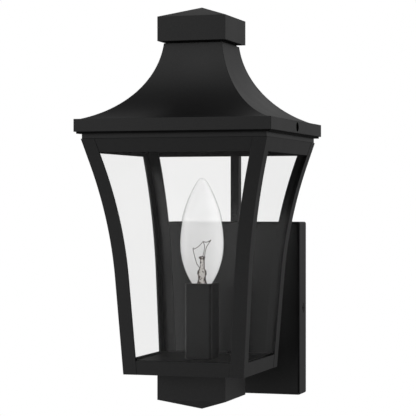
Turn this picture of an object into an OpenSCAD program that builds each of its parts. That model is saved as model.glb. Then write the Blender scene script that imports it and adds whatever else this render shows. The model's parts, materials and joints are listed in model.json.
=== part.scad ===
// Outdoor wall lantern: a square flared frame with curved glass, a swept roof that lifts off,
// one candelabra lamp on a square candle sleeve, and a box canopy that hangs on a crossbar.
// Millimetres. The origin is the centre of the canopy's back, on the wall. +Z is up, +Y into the wall.

/* [Overall] */
// Distance from the wall to the lantern's upright axis
axis_out = 101.5; // [98:0.5:130]
// Underside of the lantern's base, below the canopy's centre
base_drop = 43.4; // [40:0.2:46]
// General thickness of the sheet metal
sheet_t = 1.5; // [1.2:0.1:1.8]

/* [Frame] */
// Width of the frame across its flats at the base
base_w = 93.2; // [92:0.2:96]
// Width of the frame across its flats at the top of the posts
frame_top_w = 141.8; // [141:0.1:142]
// Height of the posts
frame_h = 174.6; // [170:0.2:176]
// Lean of the posts at the top, in degrees from upright
post_lean_top = 15.6; // [15.4:0.1:16]
// Lean of the posts at the bottom, in degrees from upright
post_lean_low = 3.8; // [3.6:0.1:4.2]
// Radius of the bend between the two leans
post_bend_r = 418; // [380:1:430]
// Width of each flange of the L-shaped posts
post_w = 10.6; // [9:0.1:12]
// Height of the rails between the posts at the top
top_rail_h = 10; // [9:0.5:10]
// Height of the rails between the posts at the bottom
low_rail_h = 10.4; // [10:0.2:11]
// Thickness of the glass
glass_t = 2; // [1.5:0.1:2]

/* [Roof] */
// Width of the roof at its rim
roof_w = 150; // [149.6:0.2:152]
// Height of the rim's upright fascia
rim_h = 9.4; // [9:0.2:10]
// Flat ledge between the fascia and the swept roof
rim_ledge = 3.2; // [2.6:0.2:3.6]
// Height of the swept roof above the rim
sweep_h = 60; // [56:0.5:62]
// Width of the neck at the top of the sweep
neck_w = 45.4; // [44:0.2:46]
// Radius of the sweep
sweep_r = 69.3; // [68:0.1:72]

/* [Cap and finial] */
// Width of the square cap and of the finial below the base
cap_w = 53.4; // [52:0.2:55]
// Height of the cap's straight sides
cap_h = 18.4; // [17:0.2:20]
// Height of the low pyramid on the cap and under the finial
peak_h = 8.8; // [8:0.2:10]
// Height of the finial's straight sides
finial_h = 20.3; // [19:0.1:22]

/* [Canopy] */
// Width of the wall canopy
canopy_w = 112; // [110:0.5:116]
// Height of the wall canopy
canopy_h = 138; // [136:0.5:142]
// Depth of the wall canopy
canopy_d = 20.5; // [20:0.5:22]
// Spacing of the wall screws in the crossbar
wall_screw_spacing = 88.9; // [88.9:0.1:89.5]

/* [Arms] */
// Width of the square tube that both arms are made of
tube_w = 7; // [7]
// Distance of the upright arm's centre from the wall
arm_out = 10.3; // [10:0.1:10.5]

/* [Lamp] */
// Width of the square candle sleeve
sleeve_w = 21.2; // [21:0.1:22]
// Height of the candle sleeve
sleeve_h = 57.2; // [56:0.2:58]
// Largest diameter of the bulb
bulb_d = 34.3; // [33:0.1:35]
// Height of the bulb's widest point above the sleeve
bulb_belly_up = 29.7; // [29:0.1:30]
// Height of the bulb's tip above its widest point
bulb_tip_up = 50.1; // [49:0.1:51]

/* [Hidden] */

$fn = 96;
fine = 256;
big = 400;
eps = 0.01;
black = [0.07, 0.07, 0.07];
steel = [0.62, 0.62, 0.63];

// Levels of the frame, measured from the canopy's centre.
base_z = -base_drop;
post_top_z = base_z + frame_h;
rail_set_back = 0.15;
band_set_back = 0.6;
glass_gap = 0.1;
glass_set_back = sheet_t + glass_gap;

// The band on top of the posts, and the roof rim that drops over it.
band_h = 11.6;
band_top_z = post_top_z + band_h;
band_half = frame_top_w / 2 - band_set_back;
rim_z = post_top_z + 5;
rim_top_z = rim_z + rim_h;
neck_z = rim_top_z + sweep_h;
lift_gap = 0.2;
liner_t = 1;
liner_half = roof_w / 2 - sheet_t;
screw_z = rim_z + rim_h / 2;
clinch_nut_r = 3.2;
clinch_nut_t = 1.3;
mitre_gap = 0.03;
neck_groove = 1.4;

// The bend of the posts is an arc that is tangent to both straight leans.
slope_top = tan(post_lean_top);
slope_low = tan(post_lean_low);
knee_z = (base_w / 2 - frame_top_w / 2 + slope_top * post_top_z - slope_low * base_z)
    / (slope_top - slope_low);
knee_x = base_w / 2 + slope_low * (knee_z - base_z);
knee_reach = post_bend_r * tan((post_lean_top - post_lean_low) / 2);
bend_low_z = knee_z - knee_reach * cos(post_lean_low);
bend_top_z = knee_z + knee_reach * cos(post_lean_top);
bend_x = knee_x - knee_reach * sin(post_lean_low) + post_bend_r * cos(post_lean_low);
bend_z = bend_low_z - post_bend_r * sin(post_lean_low);

// The sweep of the roof is one arc through the neck and the inner edge of the rim's ledge.
sweep_foot_x = roof_w / 2 - rim_ledge;
sweep_chord = [sweep_foot_x - neck_w / 2, sweep_h];
sweep_half = norm(sweep_chord) / 2;
sweep_off = sqrt(sweep_r * sweep_r - sweep_half * sweep_half) / norm(sweep_chord);
sweep_x = (sweep_foot_x + neck_w / 2) / 2 + sweep_h * sweep_off;
sweep_z = (rim_top_z + neck_z) / 2 + sweep_chord[0] * sweep_off;

// Base: a thin floor above a cover, with room between them for the leads.
cover_t = 1;
floor_t = 1.2;
stem_z = base_z + cover_t + tube_w / 2 + 0.1;
floor_z = stem_z + tube_w / 2 + 0.1;
floor_top_z = floor_z + floor_t;
lip_t = 1;
lip_h = 1.2;

// Canopy and crossbar.
canopy_t = 1.2;
canopy_front = -canopy_d;
strap_t = 1.6;
strap_h = 20;
ear_face = canopy_w / 2 - canopy_t - 0.3;
ear_depth = 16;
side_screw_out = 10;
flange_t = 1.5;
tube_wall = 1;

// Screws, studs and their fits.
m4_r = 2;
stud_r = 2.5;
rivet_r = 1.5;
thread_clear = 0.05;
nut_clear = 0.02;
seat_gap = 0.05;
slot_r = 2.3;
slot_len = 14;

// Lamp, from the sleeve's top downwards.
sleeve_z = floor_top_z;
sleeve_top_z = sleeve_z + sleeve_h;
sleeve_t = 1.2;
belly_z = sleeve_top_z + bulb_belly_up;
bulb_r = bulb_d / 2;
nose_r = 3.9;
tail_r = 56;
bulb_glass_t = 0.7;
// The round nose touches the ogive from inside, which sets the ogive's radius and where they meet.
nose_up = bulb_tip_up - nose_r;
nose_c = belly_z + nose_up;
ogive_r = (bulb_r * bulb_r + nose_up * nose_up - nose_r * nose_r) / (2 * (bulb_r - nose_r));
nose_z = nose_c + nose_r * nose_up / (ogive_r - nose_r);
collar_r = 5.95;
bulb_neck_z = belly_z - sqrt(tail_r * tail_r - pow(tail_r - bulb_r + collar_r + 0.4, 2));
bulb_base_h = 19;
bulb_base_z = bulb_neck_z - bulb_base_h;
socket_r = 8.6;
socket_z = bulb_base_z - 7;
socket_h = 26;
socket_floor = 3.5;
well_r = 6.4;
nipple_r = 4.95;
nipple_top_z = floor_top_z + 14;
stem_top_z = belly_z - 12;
hook_z = belly_z + 1;
nut_h = 4;
bracket_t = 1.2;
lead_r = 1;
lead_corner = 6.8;
terminal = [4.6, 4.4];

// ---------------------------------------------------------------- frame geometry

// Half width of the frame at height z, with its surface moved inwards by inset.
function half_at(z, inset) =
    z > bend_top_z + inset * sin(post_lean_top)
        ? frame_top_w / 2 - inset / cos(post_lean_top) + (z - post_top_z) * slope_top
    : z < bend_low_z + inset * sin(post_lean_low)
        ? base_w / 2 - inset / cos(post_lean_low) + (z - base_z) * slope_low
    : bend_x - sqrt(pow(post_bend_r + inset, 2) - pow(z - bend_z, 2));

// The frame's front view: inset moves the surface inwards, side_shift moves it straight sideways.
module frame_outline(inset, side_shift, z0, z1) {
    tangent_low = bend_low_z + inset * sin(post_lean_low);
    tangent_top = bend_top_z + inset * sin(post_lean_top);
    bends = [for (z = [tangent_low, tangent_top]) if (z > z0 && z < z1) z];
    heights = concat([z0], bends, [z1]);
    right = [for (z = heights) [half_at(z, inset) - side_shift, z]];
    left = [for (i = [len(right) - 1:-1:0]) [-right[i][0], right[i][1]]];
    difference() {
        polygon(concat(right, left));
        for (side = [-1, 1])
            translate([side * (bend_x - side_shift), bend_z])
                circle(r = post_bend_r + inset, $fn = fine);
    }
}

// Extrudes a front view straight through the lantern, from front to back.
module through_y() rotate([90, 0, 0]) linear_extrude(height = big, center = true) children();

// Extrudes a side view straight through the lantern, from side to side.
module through_x() rotate([90, 0, 90]) linear_extrude(height = big, center = true) children();

// The solid inside the frame's four curved faces.
module frame_solid(inset, z0, z1) {
    intersection() {
        through_y() frame_outline(inset, 0, z0, z1);
        through_x() frame_outline(inset, 0, z0, z1);
    }
}

// A curved sheet between two insets, cut to one face of the frame: 0 front, 90 right, 180 back, 270 left.
module face_sheet(turn, inset, t, side_shift, z0, z1) {
    rotate([0, 0, turn])
        intersection() {
            through_x()
                difference() {
                    frame_outline(inset, 0, z0, z1);
                    frame_outline(inset + t, 0, z0 - 1, z1 + 1);
                }
            through_y() frame_outline(inset, side_shift, z0, z1);
            translate([-big / 2, -big, -big / 2]) cube([big, big, big]);
        }
}

// Moves pieces from the lantern's own axis to their place in front of the wall.
module at_axis() translate([0, -axis_out, 0]) children();

// A square ring with upright sides, from half width b out to half width a.
module square_ring(a, b, z0, z1) {
    difference() {
        translate([-a, -a, z0]) cube([2 * a, 2 * a, z1 - z0]);
        translate([-b, -b, z0 - 1]) cube([2 * b, 2 * b, z1 - z0 + 2]);
    }
}

// A square block with a low pyramid on top.
module peaked_block(w, h, peak) {
    half = w / 2;
    view = [[-half, 0], [half, 0], [half, h], [0, h + peak], [-half, h]];
    intersection() {
        through_y() polygon(view);
        through_x() polygon(view);
    }
}

// A rectangle with truly round corners.
module rounded_rect(w, h, r) {
    square([w - 2 * r, h], center = true);
    square([w, h - 2 * r], center = true);
    for (x = [-1, 1], y = [-1, 1]) translate([x * (w / 2 - r), y * (h / 2 - r)]) circle(r = r);
}

// A hexagonal nut with its bore.
module hex_nut(across_flats, h, bore_r) {
    difference() {
        cylinder(h = h, r = across_flats / sqrt(3), $fn = 6);
        translate([0, 0, -1]) cylinder(h = h + 2, r = bore_r);
    }
}

// A straight bore from side to side.
module side_bore(r) rotate([0, 90, 0]) cylinder(h = big, r = r, center = true);

// Mirrors what was drawn for the right side when the left one is wanted.
module for_side(side) mirror([side < 0 ? 1 : 0, 0, 0]) children();

// ---------------------------------------------------------------- swept leads

function unit(v) = v / norm(v);

// Catmull-Rom point between p[i] and p[i + 1].
function spline_at(p, i, t) =
    let (a = p[max(i - 1, 0)], b = p[i], c = p[i + 1], d = p[min(i + 2, len(p) - 1)])
    0.5 * (2 * b + (c - a) * t + (2 * a - 5 * b + 4 * c - d) * t * t
        + (3 * b - a - 3 * c + d) * t * t * t);

function spline(p, steps) = concat(
    [for (i = [0:len(p) - 2], s = [0:steps - 1]) spline_at(p, i, s / steps)],
    [p[len(p) - 1]]
);

// Directions across the sweep, carried along from ring to ring so that the tube doesn't twist.
function carry(path, i, across) =
    let (ahead = unit(path[min(i + 1, len(path) - 1)] - path[max(i - 1, 0)]))
    unit(across - (across * ahead) * ahead);

function frames(path, i, across) =
    i >= len(path) ? [] :
    let (now = carry(path, i, across)) concat([now], frames(path, i + 1, now));

// A round lead along a smooth curve through the points.
module lead(points, r) {
    sides = 8;
    path = spline(points, 4);
    last = len(path) - 1;
    across = frames(path, 0, [0.31, 0.87, 0.38]);
    rings = [for (i = [0:last])
        let (ahead = unit(path[min(i + 1, last)] - path[max(i - 1, 0)]))
        let (u = across[i], v = cross(ahead, u))
        for (k = [0:sides - 1], a = k * 360 / sides) path[i] + r * (cos(a) * u + sin(a) * v)];
    walls = [for (i = [0:last - 1], k = [0:sides - 1])
        let (a = i * sides + k, b = i * sides + (k + 1) % sides)
        [a, a + sides, b + sides, b]];
    start = [for (k = [0:sides - 1]) k];
    end = [for (k = [sides - 1:-1:0]) last * sides + k];
    polyhedron(points = rings, faces = concat(walls, [start, end]));
}

// Each current-carrying lead runs from the socket, through the floor and the lower stem, to its connector.
function lead_route(side) = [
    [side * terminal[0], -axis_out + terminal[1], socket_z + 1],
    [side * 5.4, -axis_out + 5.2, socket_z - 3],
    [side * lead_corner, -axis_out + lead_corner, socket_z - 9],
    [side * lead_corner, -axis_out + lead_corner, floor_top_z + 4],
    [side * lead_corner, -axis_out + lead_corner, floor_z + 0.4],
    [side * 5.6, -axis_out + 9.6, stem_z + 0.6],
    [side * 2.6, -axis_out + 19, stem_z],
    [side * 1.2, -axis_out + 31, stem_z],
    [side * 1.2, -axis_out + 50, stem_z],
    [side * 1.2, -axis_out + 68, stem_z],
    [side * 1.4, canopy_front + 4, stem_z],
    [side * 4, canopy_front + 9.5, stem_z - 1.5],
    [side * 12, canopy_front + 10.5, stem_z - 3],
    [side * 19, canopy_front + 10.5, stem_z + 2],
    [side * 21, canopy_front + 10.5, stem_z + 9],
    [side * 21, canopy_front + 10.5, stem_z + 14]
];
connector_x = 21;
connector_y = canopy_front + 10.5;
connector_z = stem_z + 12;
connector_h = 17;
ground_x = 30;
ground_route = [
    [ground_x + 4.7, -3.3, 0],
    [ground_x + 7.6, -3.7, 1.5],
    [ground_x + 9.5, -5.5, 7],
    [ground_x + 9, -9, 13],
    [ground_x + 5.5, -13, 17],
    [ground_x + 1, -16, 19.5],
    [ground_x - 2.6, -17.4, 20.6]
];
lug = [ground_x - 6, canopy_front + canopy_t, 21];

// ---------------------------------------------------------------- canopy and wall fixing

// A pressed box that is open to the wall, with rounded front edges.
module wall_canopy() color(black) {
    corner_r = 1.6;
    front_r = 2.2;
    inner_w = canopy_w - 2 * canopy_t;
    inner_h = canopy_h - 2 * canopy_t;
    screw_hole_r = 4;
    difference() {
        intersection() {
            rotate([90, 0, 0]) linear_extrude(height = canopy_d)
                rounded_rect(canopy_w, canopy_h, corner_r);
            linear_extrude(height = big, center = true)
                rounded_rect(canopy_w, 2 * canopy_d, front_r);
            through_x() rounded_rect(2 * canopy_d, canopy_h, front_r);
        }
        translate([-inner_w / 2, canopy_front + canopy_t, -inner_h / 2])
            cube([inner_w, canopy_d, inner_h]);
        translate([-tube_w / 2, -arm_out - tube_w / 2, canopy_h / 2 - 5]) cube([tube_w, tube_w, 10]);
        translate([-tube_w / 2, canopy_front - 5, stem_z - tube_w / 2]) cube([tube_w, 10, tube_w]);
        translate([0, -side_screw_out, 0]) side_bore(screw_hole_r);
    }
}

module wall_gasket() color([0.16, 0.16, 0.17]) {
    gasket_w = 4;
    gasket_t = 2;
    w = canopy_w - 2 * canopy_t;
    h = canopy_h - 2 * canopy_t;
    difference() {
        translate([-w / 2, -gasket_t, -h / 2]) cube([w, gasket_t, h]);
        translate([-w / 2 + gasket_w, -gasket_t - 1, -h / 2 + gasket_w])
            cube([w - 2 * gasket_w, gasket_t + 2, h - 2 * gasket_w]);
        translate([-w, -gasket_t - 1, -strap_h / 2]) cube([2 * w, gasket_t + 2, strap_h]);
    }
}

module crossbar() color(steel) {
    ear_h = 16;
    difference() {
        union() {
            translate([-ear_face, -strap_t, -strap_h / 2]) cube([2 * ear_face, strap_t, strap_h]);
            for (side = [-1, 1])
                translate([side * (ear_face - strap_t / 2) - strap_t / 2, -ear_depth, -ear_h / 2])
                    cube([strap_t, ear_depth, ear_h]);
        }
        for (side = [-1, 1]) translate([side * wall_screw_spacing / 2, 0, 0]) wall_slot();
        translate([0, -side_screw_out, 0]) side_bore(m4_r);
        translate([ground_x, 5, 0]) rotate([90, 0, 0]) cylinder(h = 10, r = m4_r);
    }
}

// A slot with round ends, so that the crossbar can be levelled on the box's screws.
module wall_slot() rotate([90, 0, 0]) linear_extrude(height = 10, center = true) {
    square([slot_len - 2 * slot_r, 2 * slot_r], center = true);
    for (side = [-1, 1]) translate([side * (slot_len / 2 - slot_r), 0]) circle(r = slot_r);
}

module ground_screw() color([0.16, 0.42, 0.2]) {
    washer_t = 0.8;
    washer_r = 4.6;
    head_r = 3.8;
    head_t = 2.2;
    translate([ground_x, -strap_t, 0]) rotate([90, 0, 0]) {
        translate([0, 0, -strap_t]) cylinder(h = strap_t + 1, r = m4_r);
        cylinder(h = washer_t, r = washer_r);
        difference() {
            translate([0, 0, washer_t]) cylinder(h = head_t, r = head_r);
            translate([-head_r, -0.5, washer_t + head_t - 1]) cube([2 * head_r, 1, 2]);
        }
    }
}

// A pan-head screw with a cross recess, from the canopy's side into the crossbar's ear.
module canopy_screw(side) color(black) {
    head_r = 3.7;
    head_t = 1.2;
    shank_len = 7;
    recess_w = 0.9;
    for_side(side) translate([ear_face, -side_screw_out, 0]) {
        difference() {
            rotate([0, 90, 0]) cylinder(h = head_t, r = head_r);
            for (turn = [0, 90])
                rotate([turn, 0, 0])
                    translate([head_t * 0.4, -recess_w / 2, -head_r * 0.6])
                        cube([head_t, recess_w, head_r * 1.2]);
        }
        rotate([0, -90, 0]) cylinder(h = shank_len, r = m4_r - thread_clear);
    }
}

// ---------------------------------------------------------------- arms

// The upright arm leaves the canopy's top, turns a mitred corner and meets the frame's back rail.
module support_arm() color(black) {
    leg_z = post_top_z - top_rail_h / 2 + 0.3;
    foot_z = canopy_h / 2 - 8;
    half = tube_w / 2;
    bore = half - tube_wall;
    top_z = leg_z + half;
    reach = axis_out - arm_out;
    difference() {
        union() {
            translate([-half, -arm_out - half, foot_z]) cube([tube_w, tube_w, top_z - foot_z]);
            translate([-half, -arm_out - reach, leg_z - half]) cube([tube_w, reach, tube_w]);
        }
        translate([-bore, -arm_out - bore, foot_z - 1])
            cube([2 * bore, 2 * bore, leg_z + bore - foot_z + 1]);
        translate([-bore, -arm_out - reach - 1, leg_z - bore])
            cube([2 * bore, reach + 1, 2 * bore]);
        at_axis() frame_solid(rail_set_back, base_z, post_top_z);
    }
}

module arm_flange() color(steel) {
    flange_w = 22;
    flange_d = 13;
    top_z = canopy_h / 2 - canopy_t;
    difference() {
        translate([-flange_w / 2, -arm_out - flange_d / 2, top_z - flange_t])
            cube([flange_w, flange_d, flange_t]);
        translate([-tube_w / 2, -arm_out - tube_w / 2, top_z - 10]) cube([tube_w, tube_w, 20]);
    }
}

// The short stem between canopy and base carries the leads.
module lower_stem() color(black) {
    inner_end = -axis_out + base_w / 2 - 6;
    outer_end = canopy_front + 4;
    bore = tube_w - 2 * tube_wall;
    difference() {
        translate([-tube_w / 2, inner_end, stem_z - tube_w / 2])
            cube([tube_w, outer_end - inner_end, tube_w]);
        translate([-bore / 2, inner_end - 1, stem_z - bore / 2])
            cube([bore, outer_end - inner_end + 2, bore]);
    }
}

module stem_flange() color(steel) {
    flange_w = 16;
    back = canopy_front + canopy_t;
    difference() {
        translate([-flange_w / 2, back, stem_z - flange_w / 2]) cube([flange_w, flange_t, flange_w]);
        translate([-tube_w / 2, back - 1, stem_z - tube_w / 2]) cube([tube_w, 5, tube_w]);
    }
}

// ---------------------------------------------------------------- frame

// The band stands on the posts, set back so that their top ends show as small ledges.
module frame_top_band() color(black) at_axis()
    square_ring(band_half, band_half - sheet_t, post_top_z, band_top_z);

// One L-shaped post: both of its flanges follow the frame's curve.
module corner_post(side_x, side_y) color(black) at_axis()
    intersection() {
        difference() {
            frame_solid(0, base_z, post_top_z);
            frame_solid(sheet_t, base_z - 1, post_top_z + 1);
            through_y() frame_outline(0, post_w, base_z - 1, post_top_z + 1);
            through_x() frame_outline(0, post_w, base_z - 1, post_top_z + 1);
        }
        translate([side_x * big / 4, side_y * big / 4, 0])
            cube([big / 2, big / 2, 2 * big], center = true);
    }

// A rail between two posts, on one face of the frame.
module rail(turn, z0, z1) at_axis()
    face_sheet(turn, rail_set_back, sheet_t - rail_set_back, post_w, z0, z1);

module top_rail(turn) color(black) rail(turn, post_top_z - top_rail_h, post_top_z);

// The back rail has a square opening for the lower stem.
module bottom_rail(turn) color(black) difference() {
    rail(turn, base_z, base_z + low_rail_h);
    translate([-tube_w / 2, -axis_out, stem_z - tube_w / 2]) cube([tube_w, base_w, tube_w]);
}

// Each pane is bent to the frame's curve and stands on the floor, behind the rails and posts.
module glass_pane(turn) color([0.85, 0.9, 0.92, 0.3]) at_axis() {
    corner_gap = glass_t + 0.6;
    face_sheet(turn, glass_set_back, glass_t, corner_gap, floor_top_z, post_top_z - 1);
}

// Z-shaped spring clips from the top band press the four panes against the rails.
module glass_clips() color(steel) at_axis() {
    clip_w = 14;
    clip_t = 0.6;
    band_in = band_half - sheet_t;
    pane_inset = glass_set_back + glass_t + seat_gap;
    foot_z = post_top_z - 4.5;
    foot = half_at(foot_z, pane_inset);
    knee = half_at(post_top_z, pane_inset);
    top = band_top_z - 3;
    shoulder = post_top_z + 1;
    for (turn = [0, 90, 180, 270])
        rotate([0, 0, turn]) rotate([90, 0, 90]) linear_extrude(height = clip_w, center = true)
            polygon([
                [-band_in, top], [-band_in, shoulder], [-knee, post_top_z], [-foot, foot_z],
                [-foot + clip_t, foot_z], [-knee + clip_t, post_top_z + clip_t],
                [-band_in + clip_t, shoulder + clip_t], [-band_in + clip_t, top]
            ]);
}

// ---------------------------------------------------------------- base

module base_pan() color(black) at_axis() {
    pan_in = sheet_t + seat_gap;
    lead_hole_r = lead_r + 0.35;
    lip_in = glass_set_back + glass_t + 0.2;
    difference() {
        union() {
            frame_solid(pan_in, floor_z, floor_top_z);
            difference() {
                frame_solid(lip_in, floor_top_z - eps, floor_top_z + lip_h);
                frame_solid(lip_in + lip_t, floor_top_z - 1, floor_top_z + lip_h + 1);
            }
        }
        translate([0, 0, floor_z - 1]) cylinder(h = 10, r = nipple_r + thread_clear);
        for (side = [-1, 1])
            translate([side * lead_corner, lead_corner, floor_z - 1])
                cylinder(h = 10, r = lead_hole_r);
    }
}

module base_cover() color(black) at_axis() difference() {
    frame_solid(sheet_t + seat_gap, base_z, base_z + cover_t);
    translate([0, 0, base_z - 1]) cylinder(h = 5, r = nipple_r + thread_clear);
}

// A hollow casting with a threaded boss that screws up the nipple.
module bottom_finial() color(black) at_axis() translate([0, 0, base_z]) mirror([0, 0, 1]) difference() {
    wall = 2;
    boss_r = 8;
    top_t = 2;
    union() {
        difference() {
            peaked_block(cap_w, finial_h, peak_h);
            translate([0, 0, top_t]) peaked_block(cap_w - 2 * wall, finial_h - 2 * wall, peak_h - 0.4);
        }
        cylinder(h = 16, r = boss_r);
    }
    translate([0, 0, -1]) cylinder(h = 15, r = nipple_r + thread_clear);
}

module centre_nipple() color(steel) at_axis() {
    bore_r = 3.4;
    foot_z = base_z - 12;
    difference() {
        translate([0, 0, foot_z]) cylinder(h = nipple_top_z - foot_z, r = nipple_r);
        translate([0, 0, foot_z - 1]) cylinder(h = nipple_top_z - foot_z + 2, r = bore_r);
    }
}

// One nut clamps the floor, the other clamps the socket's bracket on top of it.
module nipple_nuts() color(steel) at_axis()
    for (z = [floor_top_z, floor_top_z + nut_h + bracket_t])
        translate([0, 0, z]) hex_nut(14, nut_h, nipple_r + nut_clear);

// ---------------------------------------------------------------- lamp

// A bent strap from the nipple up to the socket's foot.
module socket_bracket() color(steel) at_axis() {
    bracket_w = 8;
    leg_inside = 7.6;
    leg_y = -leg_inside - bracket_t;
    foot_z = floor_top_z + nut_h;
    seat_end = 2.6;
    difference() {
        union() {
            translate([-bracket_w / 2, leg_y, foot_z]) cube([bracket_w, -leg_y, bracket_t]);
            translate([0, 0, foot_z]) cylinder(h = bracket_t, r = 7);
        }
        translate([0, 0, foot_z - 1]) cylinder(h = 5, r = nipple_r + thread_clear);
    }
    translate([-bracket_w / 2, leg_y, foot_z]) cube([bracket_w, bracket_t, socket_z - foot_z]);
    difference() {
        translate([-bracket_w / 2, leg_y, socket_z - bracket_t])
            cube([bracket_w, seat_end - leg_y, bracket_t]);
        translate([0, 0, socket_z - 5]) cylinder(h = 10, r = rivet_r);
    }
}

module socket_rivet() color(steel) at_axis() {
    head_r = 2.6;
    translate([0, 0, socket_z - bracket_t - 1]) cylinder(h = 1, r = head_r);
    translate([0, 0, socket_z - bracket_t]) cylinder(h = bracket_t + 3, r = rivet_r);
}

module lamp_socket() color([0.9, 0.88, 0.82]) at_axis() {
    difference() {
        translate([0, 0, socket_z]) cylinder(h = socket_h, r = socket_r);
        translate([0, 0, socket_z + socket_floor]) cylinder(h = socket_h, r = well_r);
        translate([0, 0, socket_z - 1]) cylinder(h = 10, r = rivet_r);
        for (side = [-1, 1])
            translate([side * terminal[0], terminal[1], socket_z - 1]) cylinder(h = 3, r = lead_r + 0.3);
    }
}

// The threaded shell that the bulb's base screws into.
module socket_shell() color([0.8, 0.7, 0.45]) at_axis() {
    z = socket_z + 8;
    difference() {
        translate([0, 0, z]) cylinder(h = socket_h - 11, r = well_r);
        translate([0, 0, z - 1]) cylinder(h = socket_h, r = collar_r + 0.08);
    }
}

module socket_contact() color([0.8, 0.7, 0.45]) at_axis() {
    z = socket_z + socket_floor;
    tongue_h = 0.6;
    translate([-1.6, -4.5, z]) cube([3.2, 8, tongue_h]);
    translate([0, 0, z]) cylinder(h = 2.2, r = 1.6);
}

module candle_sleeve() color(black) at_axis() difference() {
    corner_r = 2;
    inner_w = sleeve_w - 2 * sleeve_t;
    translate([0, 0, sleeve_z]) linear_extrude(height = sleeve_h)
        rounded_rect(sleeve_w, sleeve_w, corner_r);
    translate([0, 0, sleeve_z - 1]) linear_extrude(height = sleeve_h + 2)
        rounded_rect(inner_w, inner_w, corner_r - sleeve_t);
}

// ---------------------------------------------------------------- leads

module lead_line() color([0.08, 0.08, 0.08]) lead(lead_route(1), lead_r);

module lead_neutral() color([0.92, 0.92, 0.9]) lead(lead_route(-1), lead_r);

module lead_ground() color([0.72, 0.45, 0.25]) lead(ground_route, 0.8);

// A ring terminal riveted to the inside of the canopy bonds it to the ground screw.
module ground_lug() color(steel) translate(lug) rotate([-90, 0, 0]) {
    cylinder(h = 0.8, r = 3.2);
    cylinder(h = 2, r = 1.7);
    translate([2.6, -1, 0]) cube([2.4, 2, 0.8]);
}

// Twist-on connectors on the ends of the two leads, ready for the supply wires.
module wire_connectors() color([0.85, 0.45, 0.1])
    for (side = [-1, 1])
        translate([side * connector_x, connector_y, connector_z]) difference() {
            rotate_extrude() polygon([
                [0, 0], [4.6, 0], [4.6, 5], [3.9, 6],
                [2.6, connector_h - 1], [1.6, connector_h], [0, connector_h]
            ]);
            translate([0, 0, -1]) cylinder(h = 8, r = lead_r + 0.3);
        }

// ---------------------------------------------------------------- roof

// Front view of the roof: rim, ledge, one swept arc on each side and the neck.
module roof_outline(inset) {
    foot = sweep_foot_x - inset;
    neck = neck_w / 2 - inset;
    foot_z = rim_top_z - inset;
    top_z = neck_z - inset;
    difference() {
        polygon([
            [-foot, foot_z - 1], [foot, foot_z - 1], [foot, foot_z],
            [neck, top_z], [-neck, top_z], [-foot, foot_z]
        ]);
        for (side = [-1, 1])
            translate([side * sweep_x, sweep_z]) circle(r = sweep_r + inset, $fn = fine);
    }
}

module roof_sweep(inset) intersection() {
    through_y() roof_outline(inset);
    through_x() roof_outline(inset);
}

module rim_block(inset) {
    half = roof_w / 2 - inset;
    z0 = rim_z - (inset > 0 ? 1 : 0);
    translate([-half, -half, z0]) cube([2 * half, 2 * half, rim_top_z - inset - z0]);
}

// The folded rim: an upright fascia with a ledge on top, and an access hole for each side screw.
module roof_rim() color(black) at_axis() difference() {
    access_r = 3.6;
    ledge_inside = 4.8;
    ledge_in = sweep_foot_x - ledge_inside;
    rim_block(0);
    rim_block(sheet_t);
    translate([-ledge_in, -ledge_in, rim_z]) cube([2 * ledge_in, 2 * ledge_in, 2 * rim_h]);
    translate([0, 0, screw_z]) side_bore(access_r);
}

// Four swept panels stand on the ledge and meet in mitres along the hips.
module roof_panels() color(black) at_axis()
    for (turn = [0, 90, 180, 270])
        rotate([0, 0, turn]) intersection() {
            difference() {
                roof_sweep(0);
                roof_sweep(sheet_t);
            }
            translate([0, -mitre_gap, rim_top_z]) linear_extrude(height = sweep_h - sheet_t)
                polygon([[0, 0], [-roof_w, -roof_w], [roof_w, -roof_w]]);
        }

// The plate on the panels' top edges takes the cap's stud, and leaves a narrow groove under the cap.
module neck_plate() color(black) at_axis() difference() {
    half = neck_w / 2 - neck_groove;
    stud_hole_r = stud_r + 0.2;
    translate([-half, -half, neck_z - sheet_t]) cube([2 * half, 2 * half, sheet_t]);
    translate([0, 0, neck_z - 10]) cylinder(h = 20, r = stud_hole_r);
}

// The ring inside the rim stands on the frame's band and carries the screws' threads.
module roof_liner() color(black) at_axis() {
    flange_in = 66;
    lip_below = 1.4;
    flange_z = band_top_z + lift_gap;
    nut_pocket_r = clinch_nut_r + 0.2;
    inner_face = liner_half - liner_t;
    difference() {
        union() {
            square_ring(liner_half, inner_face, rim_z - lip_below, flange_z + liner_t);
            square_ring(liner_half, flange_in, flange_z, flange_z + liner_t);
        }
        translate([0, 0, screw_z]) side_bore(m4_r);
        translate([-inner_face, 0, screw_z]) rotate([0, 90, 0])
            cylinder(h = 2 * inner_face, r = nut_pocket_r);
    }
}

module roof_clinch_nuts() color(steel) at_axis() {
    for (turn = [0, 180])
        rotate([0, 0, turn]) translate([liner_half - liner_t - clinch_nut_t, 0, screw_z])
            rotate([0, 90, 0]) difference() {
                cylinder(h = clinch_nut_t, r = clinch_nut_r);
                translate([0, 0, -1]) cylinder(h = clinch_nut_t + 2, r = m4_r);
            }
}

// A headless set screw, turned with a hexagon key through the rim's access hole.
// Its tip stops just short of the band, so that the roof still lifts.
module roof_screw(side) color(black) at_axis() {
    key_r = 1.15;
    key_depth = 1.6;
    tip = band_half + lift_gap;
    head = liner_half - 0.3;
    for_side(side) translate([0, 0, screw_z]) rotate([0, 90, 0]) difference() {
        translate([0, 0, tip]) cylinder(h = head - tip, r = m4_r - thread_clear);
        translate([0, 0, head - key_depth]) cylinder(h = 2 * key_depth, r = key_r, $fn = 6);
    }
}

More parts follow.
